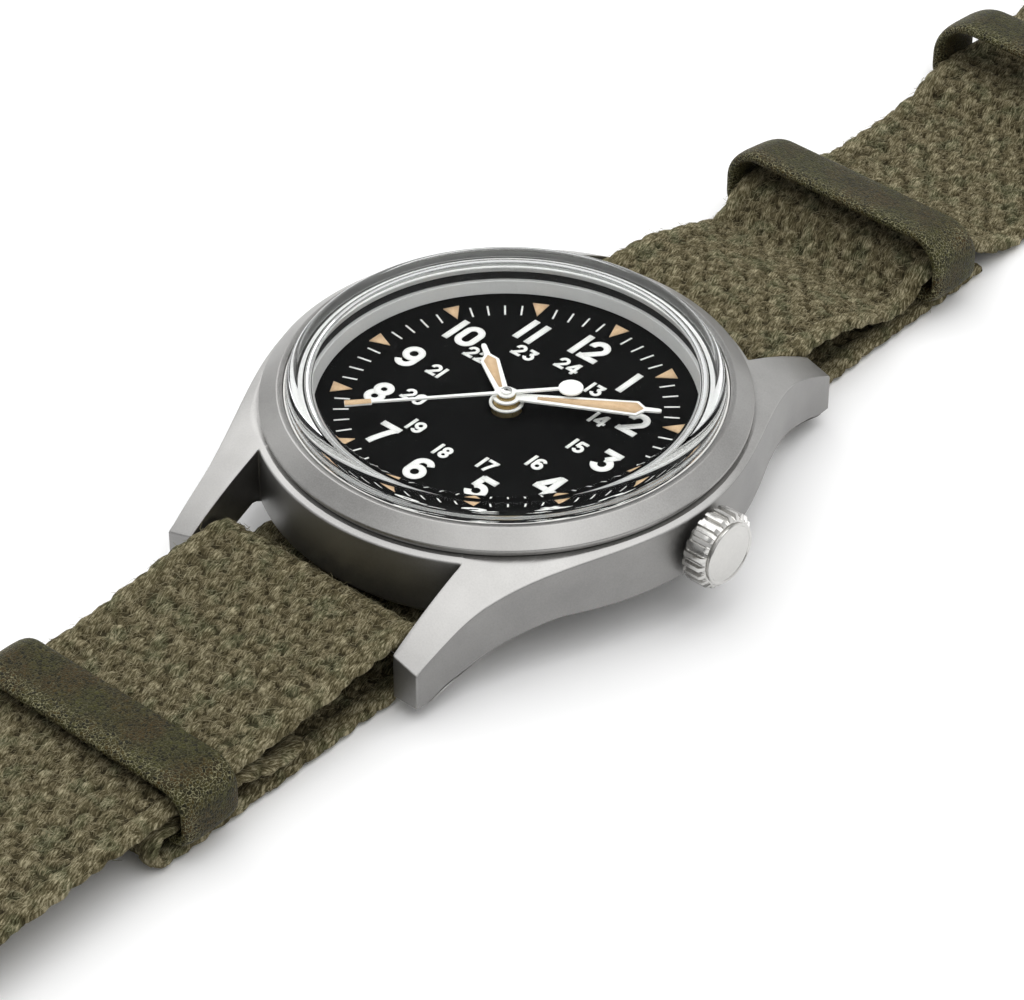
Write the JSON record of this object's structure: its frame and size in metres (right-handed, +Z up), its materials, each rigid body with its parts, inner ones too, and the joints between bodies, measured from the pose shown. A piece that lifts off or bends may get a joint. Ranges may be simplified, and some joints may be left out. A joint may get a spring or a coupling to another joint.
{
  "type": "wristwatch",
  "caption": "Hand-wound field wristwatch with box crystal, black dial, fluted crown and hidden movement, on a one-piece canvas strap with leather keepers and a pin buckle, lying flat.",
  "frame": {"origin": "on the underside of the strap, straight below the centre of the dial", "axes": "+X towards 3 o'clock and the crown, +Y towards 12 o'clock and the buckle, +Z up out of the dial"},
  "size_m": [0.0406, 0.2667, 0.0121],
  "materials": {
    "blasted_steel": "fine blasted satin",
    "polished_steel": "polished",
    "sapphire": "clear polished",
    "black_rubber": "matt",
    "satin_silver": "satin",
    "matt_black": "matt",
    "white_lacquer": "semi-gloss",
    "brass": "satin",
    "nickel": "satin",
    "blued_steel": "polished blue",
    "olive_canvas": "coarse woven",
    "olive_leather": "pebbled satin"
  },
  "bodies": {
    "case": {"mid_case": "blasted_steel", "bezel": "blasted_steel", "crystal": "sapphire", "crystal_gasket": "black_rubber", "rehaut_ring": "satin_silver", "dial": "matt_black", "movement_ring": "nickel", "case_back": "blasted_steel", "case_back_gasket": "black_rubber", "crown_tube": "polished_steel", "spring_bar_12": "polished_steel", "spring_bar_6": "polished_steel", "long_strap": "olive_canvas", "short_strap": "olive_canvas", "keeper_1": "olive_leather", "keeper_2": "olive_leather", "keeper_3": "olive_leather", "main_plate": "nickel", "three_quarter_plate": "nickel", "balance_cock": "nickel", "plate_screw_1": "blued_steel", "plate_screw_2": "blued_steel", "plate_screw_3": "blued_steel", "cock_screw": "blued_steel"},
    "seconds": {"fourth_wheel": "brass", "seconds_hand": "white_lacquer"},
    "minutes": {"centre_wheel": "brass", "cannon_pinion": "brass", "minute_hand": "white_lacquer"},
    "hours": {"hour_wheel": "brass", "hour_hand": "white_lacquer"},
    "third": {"third_wheel": "brass"},
    "escape": {"escape_wheel": "polished_steel"},
    "barrel": {"barrel": "brass", "barrel_cover": "brass", "mainspring": "polished_steel"},
    "motion_work": {"minute_wheel": "brass"},
    "winding": {"winding_pinion": "polished_steel"},
    "crown": {"crown": "polished_steel", "winding_stem": "polished_steel", "crown_gasket": "black_rubber"},
    "sliding_pinion": {"sliding_pinion": "polished_steel"},
    "crown_wheel": {"crown_wheel": "polished_steel"},
    "ratchet": {"ratchet_wheel": "polished_steel", "barrel_arbor": "polished_steel"},
    "balance": {"balance_wheel": "brass", "hairspring": "blued_steel"},
    "pallet_fork": {"pallet_fork": "polished_steel"},
    "buckle": {"buckle_frame": "blasted_steel", "buckle_pin": "polished_steel"},
    "tongue": {"buckle_tongue": "polished_steel"}
  },
  "joints": [
    {"name": "seconds_turn", "type": "hinge", "parent": "case", "child": "seconds", "pos_m": [0, 0, 0.007], "axis": [0, 0, 1], "continuous": true},
    {"name": "minutes_turn", "type": "hinge", "parent": "case", "child": "minutes", "pos_m": [0, 0, 0.007], "axis": [0, 0, 1], "continuous": true},
    {"name": "hours_turn", "type": "hinge", "parent": "case", "child": "hours", "pos_m": [0, 0, 0.007], "axis": [0, 0, 1], "continuous": true},
    {"name": "third_turn", "type": "hinge", "parent": "case", "child": "third", "pos_m": [-0.00286, -0.00165, 0.005], "axis": [0, 0, 1], "continuous": true},
    {"name": "escape_turn", "type": "hinge", "parent": "case", "child": "escape", "pos_m": [0.00162, -0.00281, 0.005], "axis": [0, 0, 1], "continuous": true},
    {"name": "barrel_turn", "type": "hinge", "parent": "case", "child": "barrel", "pos_m": [0.00384, 0.00384, 0.0055], "axis": [0, 0, 1], "continuous": true},
    {"name": "motion_work_turn", "type": "hinge", "parent": "case", "child": "motion_work", "pos_m": [-0.00282, -0.00103, 0.007], "axis": [0, 0, 1], "continuous": true},
    {"name": "crown_turn", "type": "hinge", "parent": "case", "child": "winding", "pos_m": [0.02, 0, 0.0062], "axis": [1, 0, 0], "continuous": true},
    {"name": "crown_pull", "type": "slide", "parent": "winding", "child": "crown", "axis": [1, 0, 0], "range_m": [0, 0.0012]},
    {"name": "sliding_pinion_shift", "type": "slide", "parent": "winding", "child": "sliding_pinion", "axis": [1, 0, 0], "range_m": [-0.00072, 0]},
    {"name": "crown_wheel_turn", "type": "hinge", "parent": "case", "child": "crown_wheel", "pos_m": [0.0067, 0, 0.005], "axis": [0, 0, 1], "continuous": true},
    {"name": "ratchet_turn", "type": "hinge", "parent": "case", "child": "ratchet", "pos_m": [0.00384, 0.00384, 0.005], "axis": [0, 0, 1], "continuous": true},
    {"name": "balance_swing", "type": "hinge", "parent": "case", "child": "balance", "pos_m": [0.00554, -0.0066, 0.005], "axis": [0, 0, 1], "range_deg": [-270, 270]},
    {"name": "fork_rock", "type": "hinge", "parent": "case", "child": "pallet_fork", "pos_m": [0.00331, -0.00444, 0.005], "axis": [0, 0, 1], "range_deg": [-6, 6]},
    {"name": "buckle_swing", "type": "hinge", "parent": "case", "child": "buckle", "pos_m": [0, 0.085, 0.00199], "axis": [1, 0, 0], "range_deg": [-60, 85]},
    {"name": "tongue_lift", "type": "hinge", "parent": "buckle", "child": "tongue", "pos_m": [0, 0.085, 0.00199], "axis": [1, 0, 0], "range_deg": [0, 45]}
  ],
  "couplings": [
    {"joint": "minutes_turn", "follows": "seconds_turn", "ratio": 0.016667},
    {"joint": "hours_turn", "follows": "seconds_turn", "ratio": 0.0013889},
    {"joint": "third_turn", "follows": "seconds_turn", "ratio": -0.13333},
    {"joint": "escape_turn", "follows": "seconds_turn", "ratio": -10},
    {"joint": "barrel_turn", "follows": "seconds_turn", "ratio": -0.0027778},
    {"joint": "motion_work_turn", "follows": "seconds_turn", "ratio": -0.0055556},
    {"joint": "crown_wheel_turn", "follows": "crown_turn", "ratio": 0.4},
    {"joint": "ratchet_turn", "follows": "crown_turn", "ratio": -0.33333},
    {"joint": "sliding_pinion_shift", "follows": "crown_pull", "ratio": -0.6}
  ]
}
